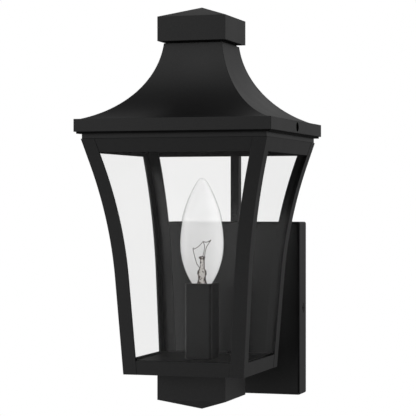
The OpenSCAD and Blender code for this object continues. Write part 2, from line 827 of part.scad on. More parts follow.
// A hollow casting with a boss for its stud.
module roof_cap() color(black) at_axis() translate([0, 0, neck_z]) difference() {
    wall = 2;
    floor_h = 1.5;
    boss_h = 14;
    union() {
        difference() {
            peaked_block(cap_w, cap_h, peak_h);
            translate([0, 0, floor_h])
                peaked_block(cap_w - 2 * wall, cap_h - wall - floor_h, peak_h - 0.4);
        }
        cylinder(h = boss_h, r = 2 * stud_r);
    }
    translate([0, 0, -1]) cylinder(h = boss_h - 3, r = stud_r);
}

module cap_stud() color(steel) at_axis()
    translate([0, 0, neck_z - 12]) cylinder(h = 21, r = stud_r);

module cap_nut() color(steel) at_axis() {
    washer_t = 1;
    washer_r = 6;
    bore_r = stud_r + nut_clear;
    plate_z = neck_z - sheet_t;
    translate([0, 0, plate_z - washer_t]) difference() {
        cylinder(h = washer_t, r = washer_r);
        translate([0, 0, -1]) cylinder(h = washer_t + 2, r = bore_r);
    }
    translate([0, 0, plate_z - washer_t - nut_h]) hex_nut(8, nut_h, bore_r);
}

// ---------------------------------------------------------------- bulb

// Right half of the bulb's outline, as an ogive with a round nose over a round-bottomed tail.
module bulb_profile(inset) {
    r = bulb_r - inset;
    intersection() {
        union() {
            intersection() {
                translate([bulb_r - ogive_r, belly_z]) circle(r = ogive_r - inset, $fn = fine);
                translate([0, belly_z]) square([r + 1, nose_z - belly_z]);
            }
            translate([0, nose_c]) circle(r = nose_r - inset);
            intersection() {
                translate([bulb_r - tail_r, belly_z]) circle(r = tail_r - inset, $fn = fine);
                translate([0, bulb_neck_z + inset]) square([r + 1, belly_z - bulb_neck_z - inset]);
            }
        }
        translate([0, -big]) square([big, 2 * big]);
    }
}

module bulb_envelope() color([0.95, 0.95, 0.95, 0.35]) at_axis() rotate_extrude() difference() {
    bulb_profile(0);
    bulb_profile(bulb_glass_t);
}

// The base's round thread is drawn as rings of the thread's pitch.
module bulb_base() color([0.8, 0.7, 0.45]) at_axis() {
    pitch = 2.5;
    turns = 5;
    root_r = collar_r - 0.45;
    crest = pitch / 2;
    thread_z = bulb_base_z + 2.5;
    ring = [
        [0, 0], [root_r, 0], [collar_r, crest / 2],
        [collar_r, crest], [root_r, crest * 1.5], [0, crest * 1.5]
    ];
    difference() {
        union() {
            translate([0, 0, bulb_base_z + 1.5]) cylinder(h = bulb_base_h - 1.5, r = root_r);
            translate([0, 0, bulb_neck_z - 3]) cylinder(h = 3, r = collar_r);
            for (i = [0:turns - 1])
                translate([0, 0, thread_z + i * pitch]) rotate_extrude() polygon(ring);
        }
        translate([0, 0, bulb_base_z + 2.2]) cylinder(h = bulb_base_h, r = root_r - 0.5);
    }
}

module bulb_insulator() color([0.1, 0.1, 0.12]) at_axis()
    translate([0, 0, bulb_base_z]) cylinder(h = 1.5, r1 = 3, r2 = 5);

module bulb_contact() color(steel) at_axis()
    translate([0, 0, bulb_base_z - 1]) cylinder(h = 1, r = 2.4);

// The glass stem with its flare, exhaust tube, button and the two support wires.
module bulb_mount() color([0.9, 0.9, 0.88]) at_axis() {
    flare_z = bulb_neck_z + 1;
    flare_h = 5;
    tube_z = flare_z + flare_h - 1;
    button_r = 2.3;
    wire_r = 0.35;
    wire_x = 1.8;
    wire_splay = 22;
    translate([0, 0, flare_z]) cylinder(h = flare_h, r1 = 5, r2 = 2.4);
    translate([0, 0, tube_z]) cylinder(h = stem_top_z - tube_z, r = 1.4);
    translate([0, 0, stem_top_z - 1]) cylinder(h = 2, r = button_r);
    for (side = [-1, 1])
        translate([side * wire_x, 0, stem_top_z - 2]) rotate([0, side * wire_splay, 0])
            cylinder(h = hook_z - stem_top_z + 1, r = wire_r);
}

// The hot wire, from one support wire to the other over a small arch.
module bulb_filament() color([0.45, 0.3, 0.2]) at_axis() {
    arch_r = 6.2;
    wire_r = 0.5;
    translate([0, 0, hook_z - 1]) rotate([90, 0, 0]) intersection() {
        rotate_extrude() translate([arch_r, 0]) circle(r = wire_r);
        translate([-big, 0, -5]) cube([2 * big, big, 10]);
    }
}

wall_canopy();
wall_gasket();
crossbar();
ground_screw();
canopy_screw(-1);  // canopy_screw_left
canopy_screw(1);  // canopy_screw_right
support_arm();
arm_flange();
lower_stem();
stem_flange();
frame_top_band();
corner_post(-1, -1);  // corner_post_front_left
corner_post(1, -1);  // corner_post_front_right
corner_post(-1, 1);  // corner_post_back_left
corner_post(1, 1);  // corner_post_back_right
top_rail(0);  // top_rail_front
top_rail(90);  // top_rail_right
top_rail(180);  // top_rail_back
top_rail(270);  // top_rail_left
bottom_rail(0);  // bottom_rail_front
bottom_rail(90);  // bottom_rail_right
bottom_rail(180);  // bottom_rail_back
bottom_rail(270);  // bottom_rail_left
glass_pane(0);  // glass_front
glass_pane(90);  // glass_right
glass_pane(180);  // glass_back
glass_pane(270);  // glass_left
glass_clips();
base_pan();
base_cover();
bottom_finial();
centre_nipple();
nipple_nuts();
socket_bracket();
socket_rivet();
lamp_socket();
socket_shell();
socket_contact();
candle_sleeve();
lead_line();
lead_neutral();
lead_ground();
ground_lug();
wire_connectors();
roof_rim();
roof_panels();
neck_plate();
roof_liner();
roof_clinch_nuts();
roof_screw(-1);  // roof_screw_left
roof_screw(1);  // roof_screw_right
roof_cap();
cap_stud();
cap_nut();
bulb_envelope();
bulb_base();
bulb_insulator();
bulb_contact();
bulb_mount();
bulb_filament();
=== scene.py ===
"""The looks of the outdoor wall lantern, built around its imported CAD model.

Metres, in the frame's own axes: +Z up, +Y into the wall, and the lantern's upright axis at x = 0.
The CAD nodes keep their shape and get materials and rounded edges. The lamp's glass, stem and
filament, the leads and their connectors are built here in finer detail, in the room of their nodes.
"""
import json
import math

import bmesh
import bpy
from mathutils import Matrix, Vector


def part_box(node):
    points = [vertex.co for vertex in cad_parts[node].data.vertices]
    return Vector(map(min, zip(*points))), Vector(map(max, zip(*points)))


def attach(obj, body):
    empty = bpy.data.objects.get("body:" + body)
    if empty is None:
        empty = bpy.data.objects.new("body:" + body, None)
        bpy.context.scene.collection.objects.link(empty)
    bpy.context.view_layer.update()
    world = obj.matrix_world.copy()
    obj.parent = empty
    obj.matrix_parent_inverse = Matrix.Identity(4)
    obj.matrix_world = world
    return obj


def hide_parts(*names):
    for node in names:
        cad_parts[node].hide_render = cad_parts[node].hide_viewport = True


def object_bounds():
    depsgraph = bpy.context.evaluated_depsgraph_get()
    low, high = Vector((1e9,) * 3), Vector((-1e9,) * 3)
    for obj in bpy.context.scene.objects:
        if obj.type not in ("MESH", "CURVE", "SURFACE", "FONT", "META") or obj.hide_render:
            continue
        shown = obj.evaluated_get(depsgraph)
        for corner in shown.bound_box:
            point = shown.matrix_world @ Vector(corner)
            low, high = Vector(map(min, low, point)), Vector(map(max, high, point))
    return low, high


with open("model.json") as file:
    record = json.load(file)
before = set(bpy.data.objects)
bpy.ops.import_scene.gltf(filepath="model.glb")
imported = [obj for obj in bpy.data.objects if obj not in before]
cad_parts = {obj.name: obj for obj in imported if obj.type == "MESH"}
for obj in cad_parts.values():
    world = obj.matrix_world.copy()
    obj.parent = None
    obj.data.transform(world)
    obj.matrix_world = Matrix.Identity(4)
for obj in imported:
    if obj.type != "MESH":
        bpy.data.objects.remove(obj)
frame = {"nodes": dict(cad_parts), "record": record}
cad_low, cad_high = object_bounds()

MM = 0.001
TAU = 2 * math.pi
WHITE = (1, 1, 1, 1)


def centre(node):
    """The middle of a CAD node's box."""
    low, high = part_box(node)
    return (low + high) / 2


# a point on the lantern's upright axis, at the height of the frame's origin
axis = centre("centre_nipple")
axis.z = 0

# ------------------------------------------------------------------ camera

VIEW_AZIMUTH = math.radians(17.4)
VIEW_DISTANCE = 1.2935
VIEW_HEIGHT = 0.0835
VIEW_SIDESTEP = 0.0046
VIEW_DROP = 0.0103
LENS_MM = 147.1
SENSOR_MM = 36


def make_camera():
    """A level camera in front of the lantern, a little to its right."""
    back = Vector((math.sin(VIEW_AZIMUTH), -math.cos(VIEW_AZIMUTH), 0))
    right = Vector((math.cos(VIEW_AZIMUTH), math.sin(VIEW_AZIMUTH), 0))
    data = bpy.data.cameras.new("camera")
    data.lens = LENS_MM
    data.sensor_width = SENSOR_MM
    data.shift_y = -VIEW_DROP
    camera = bpy.data.objects.new("camera", data)
    bpy.context.scene.collection.objects.link(camera)
    camera.location = axis + VIEW_DISTANCE * back + VIEW_SIDESTEP * right + Vector((0, 0, VIEW_HEIGHT))
    camera.rotation_euler = (-back).to_track_quat("-Z", "Y").to_euler()
    bpy.context.scene.camera = camera


make_camera()

# ------------------------------------------------------------------ material tools


def add(tree, kind, inputs=None, **settings):
    """A shader node with its settings and inputs: an input is a value, or a socket to link."""
    node = tree.nodes.new("ShaderNode" + kind)
    for key, value in settings.items():
        setattr(node, key, value)
    for key, value in (inputs or {}).items():
        if isinstance(value, bpy.types.NodeSocket):
            tree.links.new(value, node.inputs[key])
        else:
            node.inputs[key].default_value = value
    return node


def start(name):
    """An empty node material and its tree."""
    material = bpy.data.materials.new(name)
    material.use_nodes = True
    material.node_tree.nodes.clear()
    return material, material.node_tree


def finish_material(tree, shader):
    """Wires the shader to the material's surface."""
    add(tree, "OutputMaterial", {"Surface": shader})


def position(tree, stretch=(1, 1, 1)):
    """Object coordinates in metres, stretched."""
    place = add(tree, "TexCoord").outputs["Object"]
    return add(tree, "Mapping", {"Vector": place, "Scale": stretch}).outputs["Vector"]


def noise(tree, size, detail=2.0, stretch=(1, 1, 1)):
    """Noise whose features are about size metres across."""
    inputs = {"Vector": position(tree, stretch), "Scale": 1 / size, "Detail": detail}
    return add(tree, "TexNoise", inputs).outputs["Fac"]


def spread(tree, factor, low, high, start_at=0.3, end_at=0.7):
    """factor, remapped from start_at..end_at to low..high."""
    inputs = {"Value": factor, "From Min": start_at, "From Max": end_at, "To Min": low, "To Max": high}
    return add(tree, "MapRange", inputs).outputs["Result"]


def tint(tree, factor, first, second):
    """A colour between first and second."""
    mix = add(tree, "Mix", data_type="RGBA")
    tree.links.new(factor, mix.inputs[0])
    mix.inputs[6].default_value = (*first, 1)
    mix.inputs[7].default_value = (*second, 1)
    return mix.outputs[2]


def bump(tree, height, depth, strength=1.0, normal=None):
    """A bump of depth metres."""
    inputs = {"Height": height, "Distance": depth, "Strength": strength}
    if normal is not None:
        inputs["Normal"] = normal
    return add(tree, "Bump", inputs).outputs["Normal"]


def edge_mask(tree, radius):
    """1 along sharp edges, fading to 0 about radius metres away."""
    plain = add(tree, "NewGeometry").outputs["Normal"]
    rounded = add(tree, "Bevel", {"Radius": radius}, samples=4).outputs["Normal"]
    agreement = add(tree, "VectorMath", {0: plain, 1: rounded}, operation="DOT_PRODUCT").outputs["Value"]
    return spread(tree, agreement, 1, 0, 0.75, 0.98)


# ------------------------------------------------------------------ materials


def powder_coat(name, dark, pale, rough, gloss=0.5):
    """Satin powder coat: fine orange peel, slow changes in gloss, and edges rubbed a little paler."""
    material, tree = start(name)
    grain = noise(tree, 0.9 * MM, 3)
    peel = noise(tree, 2.6 * MM, 2)
    cloud = noise(tree, 45 * MM, 3)
    worn = edge_mask(tree, 0.7 * MM)
    patches = spread(tree, noise(tree, 9 * MM, 4), 0.15, 1)
    rubbed = add(tree, "Math", {0: worn, 1: patches}, operation="MULTIPLY").outputs[0]
    speck = spread(tree, grain, 0, 0.35, 0.45, 0.75)
    shade = add(tree, "Math", {0: rubbed, 1: speck}, operation="MAXIMUM").outputs[0]
    inputs = {
        "Base Color": tint(tree, shade, dark, pale),
        "Roughness": spread(tree, cloud, rough - 0.04, rough + 0.05),
        "Normal": bump(tree, grain, 0.05 * MM, 0.35, bump(tree, peel, 0.06 * MM, 0.3)),
        "Specular IOR Level": gloss,
    }
    finish_material(tree, add(tree, "BsdfPrincipled", inputs).outputs["BSDF"])
    return material


def plated_steel(name, colour, rough, scratch=(1, 1, 12)):
    """Zinc plate or bare metal with fine drawn lines and a dull bloom."""
    material, tree = start(name)
    lines = noise(tree, 0.8 * MM, 4, scratch)
    bloom = noise(tree, 7 * MM, 3)
    dull = tuple(0.72 * c for c in colour)
    inputs = {
        "Base Color": tint(tree, spread(tree, bloom, 0, 1), colour, dull),
        "Metallic": 1.0,
        "Roughness": spread(tree, bloom, rough, rough + 0.16),
        "Normal": bump(tree, lines, 0.03 * MM, 0.4),
    }
    finish_material(tree, add(tree, "BsdfPrincipled", inputs).outputs["BSDF"])
    return material


def moulded(name, colour, rough, bump_mm=0.04, grain_mm=0.8, fleck=0.85):
    """Plastic, glass or foam: a fine moulded grain and slight changes of tone."""
    material, tree = start(name)
    grain = noise(tree, grain_mm * MM, 3)
    cloud = noise(tree, 12 * MM, 2)
    deep = tuple(fleck * c for c in colour)
    inputs = {
        "Base Color": tint(tree, spread(tree, cloud, 0, 1), colour, deep),
        "Roughness": spread(tree, cloud, rough, rough + 0.1),
        "Normal": bump(tree, grain, bump_mm * MM, 0.5),
    }
    finish_material(tree, add(tree, "BsdfPrincipled", inputs).outputs["BSDF"])
    return material


def blend_shaders(tree, factor, first, second):
    """The first shader where factor is 0 and the second where it is 1."""
    mix = add(tree, "MixShader", {"Fac": factor})
    tree.links.new(first, mix.inputs[1])
    tree.links.new(second, mix.inputs[2])
    return mix.outputs["Shader"]


def let_lamps_through(tree, shader, pass_colour):
    """The shader for sight, and clear for shadow rays, so that lamps light what is behind the glass."""
    ray = add(tree, "LightPath").outputs["Is Shadow Ray"]
    clear = add(tree, "BsdfTransparent", {"Color": (*pass_colour, 1)}).outputs["BSDF"]
    return blend_shaders(tree, ray, shader, clear)


def glaze(tree, colour, head_on, grazing, sharpness=4.0):
    """Clear glass: see-through, with a mirror share of head_on that grows by grazing towards its rim."""
    facing = add(tree, "LayerWeight", {"Blend": 0.5}).outputs["Facing"]
    rim = add(tree, "Math", {0: facing, 1: sharpness}, operation="POWER").outputs[0]
    share = spread(tree, rim, head_on, head_on + grazing, 0, 1)
    smear = noise(tree, 22 * MM, 3, (1, 1, 0.4))
    clear = add(tree, "BsdfTransparent", {"Color": (*colour, 1)}).outputs["BSDF"]
    mirror = add(tree, "BsdfGlossy", {"Roughness": spread(tree, smear, 0.16, 0.22)}).outputs["BSDF"]
    return blend_shaders(tree, share, clear, mirror)


def clear_glass(name, colour, head_on, grazing, sharpness=4.0):
    """A glass whose walls are too thin to bend what is seen through them."""
    material, tree = start(name)
    finish_material(tree, glaze(tree, colour, head_on, grazing, sharpness))
    return material


def thick_glass(name, middle, rim):
    """Solid glass before a bright wall: clear in the middle, and darkened at its rim by painted shade,
    where it bends away.
    """
    material, tree = start(name)
    facing = add(tree, "LayerWeight", {"Blend": 0.5}).outputs["Facing"]
    wave = spread(tree, noise(tree, 1.8 * MM, 2), -0.35, 0.35)
    turned = add(tree, "Math", {0: facing, 1: wave}, operation="ADD").outputs[0]
    # the see-through colour darkens towards the rim: painted shade
    colour = tint(tree, spread(tree, turned, 0, 1, 0.2, 0.45), middle, rim)
    clear = add(tree, "BsdfTransparent", {"Color": colour}).outputs["BSDF"]
    mirror = add(tree, "BsdfGlossy", {"Roughness": 0.05}).outputs["BSDF"]
    share = spread(tree, facing, 0.04, 0.3)
    finish_material(tree, blend_shaders(tree, share, clear, mirror))
    return material


# powder coats: the coat's own colour, and the paler one of rubbed edges and specks
BLACK_COAT = ((0.008, 0.008, 0.0083), (0.028, 0.028, 0.029))
# the roof liner's matte black, darker than the outer coat: partly its own finish, partly painted shade for
# the dark line under the roof's rim
LINER_BLACK_AND_SHADE_COAT = ((0.003, 0.003, 0.003), (0.008, 0.008, 0.008))
SCREW_COAT = ((0.006, 0.006, 0.006), (0.035, 0.034, 0.033))
GREEN_COAT = ((0.01, 0.16, 0.05), (0.09, 0.33, 0.17))
PANE_TINT = (0.977, 0.977, 0.976)
BULB_TINT = (0.995, 0.995, 0.995)
BULB_SHARPNESS = 6.0
STEM_MIDDLE = (0.95, 0.93, 0.91)
# painted shade: the stem glass's see-through colour at its rim, where bending glass looks dark
STEM_RIM_PAINTED_SHADE = (0.12, 0.07, 0.05)


def make_materials():
    """One material for each of the record's slots."""
    return {
        "black_metal": powder_coat("black_powder_coat", *BLACK_COAT, 0.4),
        # darker and duller coat of the roof liner, partly painted shade under the rim
        "inner_black": powder_coat("inner_black_and_painted_shade", *LINER_BLACK_AND_SHADE_COAT, 0.75, 0.15),
        "black_screw": powder_coat("black_screw_finish", *SCREW_COAT, 0.34),
        "zinc_steel": plated_steel("zinc_plated_steel", (0.56, 0.57, 0.58), 0.28),
        "green_screw": powder_coat("green_screw_finish", *GREEN_COAT, 0.34),
        "gasket_foam": moulded("gasket_foam", (0.028, 0.028, 0.03), 0.85, 0.25, 1.4, 0.6),
        "window_glass": clear_glass("window_glass", PANE_TINT, 0.017, 0.04),
        "socket_body": moulded("socket_body_phenolic", (0.62, 0.6, 0.53), 0.4),
        "brass": plated_steel("brass", (0.72, 0.5, 0.2), 0.24),
        "lead_black": moulded("lead_insulation_black", (0.012, 0.012, 0.013), 0.42, 0.02),
        "lead_white": moulded("lead_insulation_white", (0.7, 0.7, 0.67), 0.42, 0.02),
        "copper": plated_steel("bare_copper", (0.8, 0.36, 0.2), 0.28),
        "connector_plastic": moulded("connector_plastic", (0.72, 0.2, 0.02), 0.38, 0.03),
        "bulb_insulator": moulded("bulb_insulator_glass", (0.02, 0.02, 0.025), 0.18, 0.02),
        "solder": plated_steel("solder", (0.55, 0.55, 0.56), 0.4),
        "filament": plated_steel("filament_wire", (0.09, 0.062, 0.05), 0.45),
        "bulb_glass": clear_glass("bulb_glass", BULB_TINT, 0.015, 0.9, BULB_SHARPNESS),
        "stem_glass": thick_glass("stem_glass", STEM_MIDDLE, STEM_RIM_PAINTED_SHADE),
    }


FILM_SHARE = 0.8
# the film's emission is painted light: it makes the unlit lamp's white film shine
FILM_PAINTED_GLOW = 0.262


def bulb_inner_film():
    """The inside of the lamp's glass: clear from outside, with a thin white film seen from inside, which
    carries a painted glow.
    """
    material, tree = start("bulb_inner_film")
    glass = glaze(tree, BULB_TINT, 0.01, 0.5, BULB_SHARPNESS)
    cloud = spread(tree, noise(tree, 14 * MM, 2), 0.84, 0.9)
    cloudy_white = add(tree, "CombineColor", {"Red": cloud, "Green": cloud, "Blue": cloud})
    film_inputs = {
        "Base Color": cloudy_white.outputs["Color"],
        "Roughness": 0.6,
        # painted glow of the film
        "Emission Color": WHITE,
        "Emission Strength": FILM_PAINTED_GLOW,
    }
    film = add(tree, "BsdfPrincipled", film_inputs).outputs["BSDF"]
    from_outside = add(tree, "NewGeometry").outputs["Backfacing"]
    from_inside = add(tree, "Math", {0: 1.0, 1: from_outside}, operation="SUBTRACT").outputs[0]
    amount = add(tree, "Math", {0: from_inside, 1: FILM_SHARE}, operation="MULTIPLY").outputs[0]
    coated = blend_shaders(tree, amount, glass, film)
    finish_material(tree, let_lamps_through(tree, coated, (0.85, 0.85, 0.85)))
    return material


materials = make_materials()
film_material = bulb_inner_film()

# ------------------------------------------------------------------ CAD nodes

SMOOTH_LIMIT = math.radians(32)
MERGE_MM = 0.002
# the rounding of a slot's edges, and that of the nodes that differ from their slot
SLOT_BEVEL_MM = {
    "black_metal": 0.35,
    "inner_black": 0.2,
    "black_screw": 0.15,
    "zinc_steel": 0.2,
    "green_screw": 0.2,
    "socket_body": 0.5,
    "brass": 0.12,
}
NODE_BEVEL_MM = {
    "roof_cap": 1.3,
    "bottom_finial": 1.2,
    "roof_rim": 0.9,
    "wall_canopy": 0.25,
    "roof_panels": 0.12,
}
# the frame's pieces meet flush, so only a hairline is left between them
WELDED_BEVEL_MM = 0.12
WELDED = ("corner_post", "top_rail", "bottom_rail")


def bevel_width(node, slot_name):
    """The rounding of a node's edges in metres, or None where they stay sharp."""
    if node.startswith(WELDED):
        return WELDED_BEVEL_MM * MM
    width = NODE_BEVEL_MM.get(node, SLOT_BEVEL_MM.get(slot_name))
    return None if width is None else width * MM


def dress_cad_nodes():
    """Gives every CAD node its slot's material, and bevels its edges where the slot has them."""
    for entry in frame["record"]["subparts"]:
        node, slot_name = entry["node"], entry["material_slot"]
        obj = frame["nodes"][node]
        for index in range(len(obj.material_slots)):
            obj.material_slots[index].material = materials[slot_name]
        if not obj.material_slots:
            obj.data.materials.append(materials[slot_name])
        width = bevel_width(node, slot_name)
        if width is not None:
            round_edges(obj, width)


def round_edges(obj, width):
    """Joins the split vertices, bevels the sharp edges and keeps the faces between them evenly shaded."""
    weld = obj.modifiers.new("weld", "WELD")
    weld.merge_threshold = MERGE_MM * MM
    bevel = obj.modifiers.new("bevel", "BEVEL")
    bevel.width = width
    bevel.segments = 3
    bevel.limit_method = "ANGLE"
    bevel.angle_limit = SMOOTH_LIMIT
    bevel.harden_normals = True
    even = obj.modifiers.new("even", "WEIGHTED_NORMAL")
    even.keep_sharp = True


dress_cad_nodes()

# ------------------------------------------------------------------ mesh tools


def new_piece(name, mesh, body, slot_name, *nodes):
    """A piece from a bmesh: rides on body, takes slot_name's finish and replaces the nodes."""
    bmesh.ops.recalc_face_normals(mesh, faces=mesh.faces)
    for face in mesh.faces:
        face.smooth = True
    data = bpy.data.meshes.new(name)
    mesh.to_mesh(data)
    mesh.free()
    data.materials.append(materials[slot_name])
    obj = bpy.data.objects.new(name, data)
    bpy.context.scene.collection.objects.link(obj)
    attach(obj, body)
    if nodes:
        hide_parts(*nodes)
    return obj


def around(radius, turn, z):
    """The point at radius from an upright axis, turned about it, at height z."""
    return Vector((radius * math.cos(turn), radius * math.sin(turn), z))


def lathe(mesh, profile, sides, at=Vector((0, 0, 0)), closed=True):
    """Turns a profile of (radius, z) points about the upright line through at.

    closed joins the profile's last point to its first.
    """
    rings = []
    for radius, z in profile:
        if radius == 0:
            rings.append([mesh.verts.new(at + Vector((0, 0, z)))])
            continue
        rings.append([mesh.verts.new(at + around(radius, TAU * i / sides, z)) for i in range(sides)])
    pairs = list(zip(rings, rings[1:]))
    if closed:
        pairs.append((rings[-1], rings[0]))
    for low, high in pairs:
        bridge(mesh, low, high, sides)


def bridge(mesh, low, high, sides):
    """Faces between two rings, either of which may be a single point."""
    if len(low) == 1 and len(high) == 1:
        return
    for i in range(sides):
        j = (i + 1) % sides
        corners = [low[i % len(low)], low[j % len(low)], high[j % len(high)], high[i % len(high)]]
        mesh.faces.new(list(dict.fromkeys(corners)))


# a direction that no route starts along, from which a route's first crosswise direction is taken
ANY_WAY = Vector((0.31, 0.87, 0.38))


def smooth_route(points, steps):
    """A Catmull-Rom curve through the points."""
    points = [Vector(p) for p in points]
    padded = [points[0], *points, points[-1]]
    route = []
    for i in range(len(points) - 1):
        a, b, c, d = padded[i:i + 4]
        for step in range(steps):
            t = step / steps
            bend = (2 * a - 5 * b + 4 * c - d) * t * t + (3 * b - a - 3 * c + d) * t ** 3
            route.append((2 * b + (c - a) * t + bend) / 2)
    return [*route, points[-1]]


def tube(mesh, route, radius, sides):
    """A round wire along a route, closed at both ends."""
    last = len(route) - 1
    across = ANY_WAY
    rings = []
    for i, point in enumerate(route):
        ahead = (route[min(i + 1, last)] - route[max(i - 1, 0)]).normalized()
        across = (across - across.dot(ahead) * ahead).normalized()
        side = ahead.cross(across)
        ring = []
        for k in range(sides):
            turn = TAU * k / sides
            place = point + radius * math.cos(turn) * across + radius * math.sin(turn) * side
            ring.append(mesh.verts.new(place))
        rings.append(ring)
    for low, high in zip(rings, rings[1:]):
        bridge(mesh, low, high, sides)
    mesh.faces.new(rings[0])
    mesh.faces.new(list(reversed(rings[-1])))


def arc(centre_r, centre_z, radius, start_deg, end_deg, steps):
    """Points (radius, z) along an arc, for a lathe's profile."""
    angles = [math.radians(start_deg + (end_deg - start_deg) * i / steps) for i in range(steps + 1)]
    return [(centre_r + radius * math.cos(a), centre_z + radius * math.sin(a)) for a in angles]


# ------------------------------------------------------------------ lamp

envelope_low, envelope_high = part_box("bulb_envelope")
bulb_r = (envelope_high.x - envelope_low.x) / 2
bulb_neck_z = envelope_low.z
bulb_tip_z = envelope_high.z
BELLY_SHARE = 0.3978
NOSE_R = 3.9 * MM
TAIL_R = 56 * MM
GLASS_T = 0.7 * MM
BULB_SIDES = 96
belly_z = bulb_neck_z + BELLY_SHARE * (bulb_tip_z - bulb_neck_z)


def bulb_outline(inset):
    """The bulb's outline, inset from its glass's outside: a long tail arc, an ogive and a round nose."""
    tail_low = math.degrees(math.asin((bulb_neck_z + inset - belly_z) / (TAIL_R - inset)))
    tail = arc(bulb_r - TAIL_R, belly_z, TAIL_R - inset, tail_low, 0, 16)
    nose_up = bulb_tip_z - NOSE_R - belly_z
    ogive_r = (bulb_r ** 2 + nose_up ** 2 - NOSE_R ** 2) / (2 * (bulb_r - NOSE_R))
    meet = math.degrees(math.atan2(nose_up, ogive_r - bulb_r))
    ogive = arc(bulb_r - ogive_r, belly_z, ogive_r - inset, 0, meet, 28)
    nose = arc(0, belly_z + nose_up, NOSE_R - inset, meet, 90, 10)
    return [*tail, *ogive[1:], *nose[1:-1], (0, bulb_tip_z - inset)]


def make_bulb_glass():
    """The envelope: an outer surface, and an inner one with the white film."""
    mesh = bmesh.new()
    outer = bulb_outline(0)
    inner = bulb_outline(GLASS_T)
    lathe(mesh, [*outer, *reversed(inner)], BULB_SIDES, axis)
    glass = new_piece("bulb_glass_envelope", mesh, "bulb", "bulb_glass", "bulb_envelope")
    glass.data.materials.append(film_material)
    for face in glass.data.polygons:
        if faces_inward(face):
            face.material_index = 1


def faces_inward(face):
    """Whether a face of the bulb looks at its middle: the axis, or the point under its pointed end."""
    place = face.center - axis
    middle = Vector((0, 0, min(place.z, belly_z + 12 * MM)))
    return face.normal.dot(middle - place) > 0


make_bulb_glass()


# the lamp's inside stands square to the camera: places are (across, up) in millimetres
HOOK_LEFT = (-6.8, 48.8)
HOOK_MIDDLE = (0.8, 54.8)
HOOK_RIGHT = (6.9, 56.0)
PRESS_Z = (28.5, 34.0)
PRESS_FLATNESS = 0.5
BUTTON_Z = 42.7
WIRE_R = 0.25 * MM
COIL_R = 0.28 * MM
COIL_WIRE_R = 0.1 * MM
COIL_TURNS = 22
COIL_SAG = 1.1 * MM


def lamp_point(across, up, depth=0.0):
    """A point in the filament's own plane, or depth behind it, in millimetres."""
    right = Vector((math.cos(VIEW_AZIMUTH), math.sin(VIEW_AZIMUTH), 0))
    back = Vector((-math.sin(VIEW_AZIMUTH), math.cos(VIEW_AZIMUTH), 0))
    return axis + across * MM * right + depth * MM * back + Vector((0, 0, up * MM))


def make_stem():
    """The glass stem: a flared foot, a flat press around the lead-in wires, a rod and its button."""
    neck = bulb_neck_z / MM
    # (radius, height) in millimetres
    foot = [(5.2, neck + 1), (4.4, neck + 2), (3.5, neck + 4), (3.0, neck + 6.5), (3.0, PRESS_Z[0])]
    press = [(3.7, PRESS_Z[0] + 1.4), (3.4, PRESS_Z[1] - 1.8), (2.2, PRESS_Z[1])]
    rod = [(1.6, PRESS_Z[1] + 1.2), (1.45, BUTTON_Z - 2), (1.6, BUTTON_Z - 1.2)]
    button_low = [(2.3, BUTTON_Z - 0.9), (2.6, BUTTON_Z - 0.2)]
    button_top = [(2.3, BUTTON_Z + 0.5), (1.0, BUTTON_Z + 0.9), (0, BUTTON_Z + 0.95)]
    profile = [(0, neck + 1), *foot, *press, *rod, *button_low, *button_top]
    mesh = bmesh.new()
    lathe(mesh, [(r * MM, z * MM) for r, z in profile], 32, closed=False)
    for vert in mesh.verts:
        height = vert.co.z / MM
        if PRESS_Z[0] - 0.5 < height < PRESS_Z[1] + 0.5:
            vert.co.y *= PRESS_FLATNESS
    turn = Matrix.Rotation(VIEW_AZIMUTH, 4, "Z")
    bmesh.ops.transform(mesh, matrix=Matrix.Translation(axis) @ turn, verts=mesh.verts)
    new_piece("bulb_stem_glass", mesh, "bulb", "stem_glass", "bulb_mount")


def make_wires():
    """Two lead-in wires, the left one hooked at its tip, and the support wire from the stem's button."""
    neck = bulb_neck_z / MM
    hook_tip = (HOOK_LEFT[0] + 0.7, HOOK_LEFT[1] + 0.9)
    left = [(-2.2, neck + 2), (-2.4, 31), (-1.75, 34.4), (-4.1, 38.4), HOOK_LEFT, hook_tip]
    right = [(2.2, neck + 2), (2.4, 31), (1.9, 34.4), (2.0, 43.6), (3.3, 50), (6.0, 54.6), HOOK_RIGHT]
    middle = [(0.4, BUTTON_Z), (1.6, 47.5), (1.9, 51.5), HOOK_MIDDLE]
    mesh = bmesh.new()
    for points, depth in ((left, 0.3), (right, -0.2), (middle, 0.5)):
        tube(mesh, smooth_route([lamp_point(x, z, depth) for x, z in points], 6), WIRE_R, 8)
    new_piece("bulb_lead_in_wires", mesh, "bulb", "filament")


def coil_route(start_point, end_point):
    """A coil about a line that sags between two points."""
    steps = COIL_TURNS * 8
    ahead = (end_point - start_point).normalized()
    side = ahead.cross(Vector((0, 0, 1))).normalized()
    up = side.cross(ahead)
    route = []
    for i in range(steps + 1):
        t = i / steps
        sag = Vector((0, 0, -COIL_SAG * 4 * t * (1 - t)))
        turn = TAU * COIL_TURNS * t
        winding = COIL_R * (math.cos(turn) * side + math.sin(turn) * up)
        route.append(start_point.lerp(end_point, t) + sag + winding)
    return route


def make_filament():
    """A fine coil hung from hook to hook over the support."""
    mesh = bmesh.new()
    for first, second in ((HOOK_LEFT, HOOK_MIDDLE), (HOOK_MIDDLE, HOOK_RIGHT)):
        tube(mesh, coil_route(lamp_point(*first), lamp_point(*second)), COIL_WIRE_R, 6)
    new_piece("bulb_coiled_filament", mesh, "bulb", "filament", "bulb_filament")


make_stem()
make_wires()
make_filament()

# ------------------------------------------------------------------ lamp base

BASE_PITCH = 2.5 * MM
BASE_WALL = 0.3 * MM
COLLAR_H = 3 * MM
THREAD_DEPTH = 0.45 * MM
BASE_SIDES = 64
BASE_LEVELS = 72


